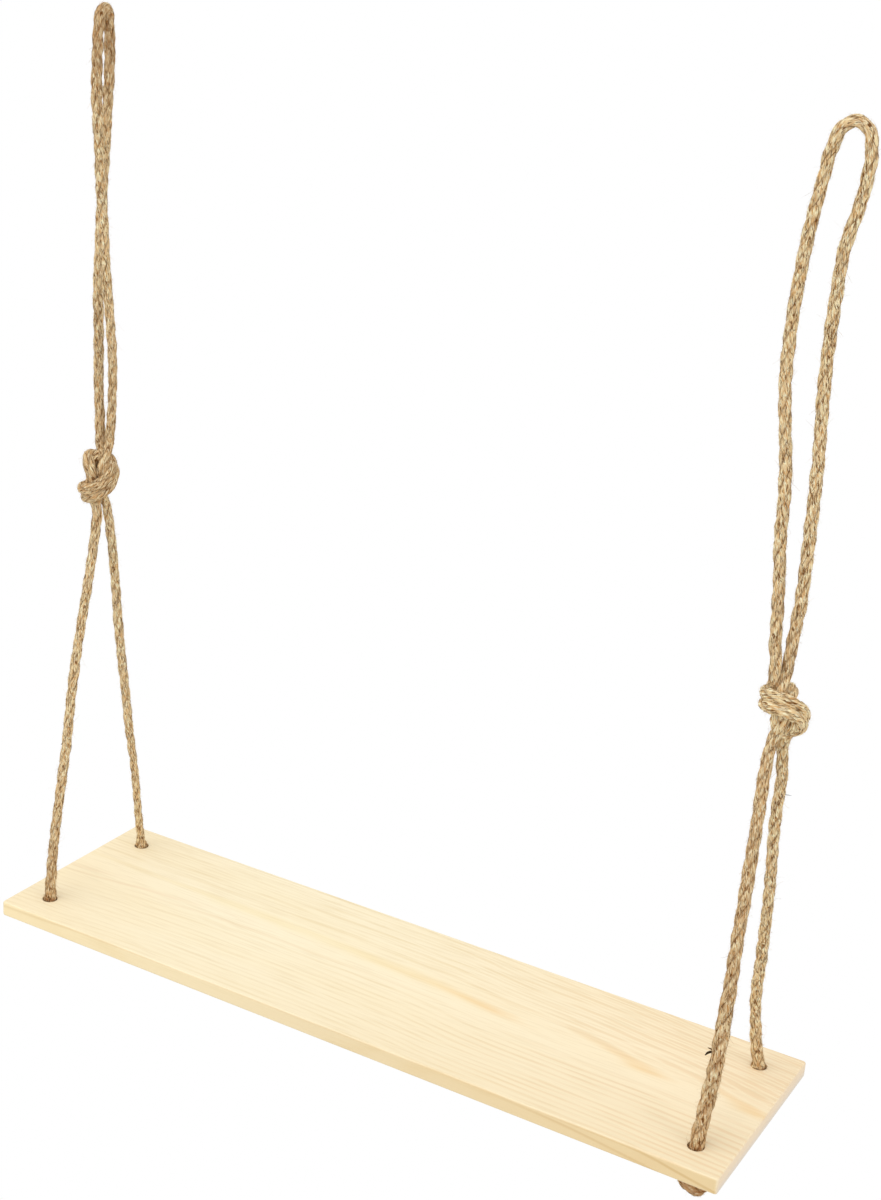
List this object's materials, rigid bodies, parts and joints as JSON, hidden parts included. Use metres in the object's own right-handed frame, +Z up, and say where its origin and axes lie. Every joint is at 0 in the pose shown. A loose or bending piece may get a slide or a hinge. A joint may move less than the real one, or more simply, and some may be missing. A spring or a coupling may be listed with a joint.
{
  "type": "hanging rope shelf",
  "caption": "Narrow pine shelf board hung by knotted jute ropes that pass through its corners and end in hanging loops.",
  "frame": {"origin": "middle of the line between the two points where the loops rest on their hooks", "axes": "+X along the board to the side with the lower knot, +Y to the wall, +Z up"},
  "size_m": [0.4, 0.11, 0.4714],
  "materials": {
    "pine": "bare sanded pine",
    "jute": "natural laid jute"
  },
  "bodies": {
    "loops": {"left_loop": "jute", "right_loop": "jute"},
    "knots": {"left_main_knot": "jute", "right_main_knot": "jute"},
    "left_legs": {"left_front_leg": "jute", "left_back_leg": "jute"},
    "board": {"board": "pine", "left_front_stopper": "jute", "left_back_stopper": "jute", "right_front_stopper": "jute", "right_back_stopper": "jute"},
    "right_legs": {"right_front_leg": "jute", "right_back_leg": "jute"}
  },
  "joints": [
    {"name": "swing", "type": "hinge", "parent": "loops", "child": "knots", "pos_m": [-0.1825, 0, -0.21575], "axis": [0.9973, 0, -0.0738], "range_deg": [-20, 20]},
    {"name": "sway", "type": "hinge", "parent": "knots", "child": "left_legs", "pos_m": [-0.1825, 0, -0.21575], "axis": [0, 1, 0], "range_deg": [-10, 10]},
    {"name": "left_hole", "type": "hinge", "parent": "left_legs", "child": "board", "pos_m": [-0.1825, 0, -0.43975], "axis": [0, 1, 0], "range_deg": [-10, 10]},
    {"name": "right_hole", "type": "hinge", "parent": "board", "child": "right_legs", "pos_m": [0.1825, 0, -0.43975], "axis": [0, 1, 0], "range_deg": [-11.5, 11.5]}
  ],
  "couplings": [
    {"joint": "left_hole", "follows": "sway", "ratio": -1},
    {"joint": "right_hole", "follows": "sway", "ratio": 1.1371}
  ]
}
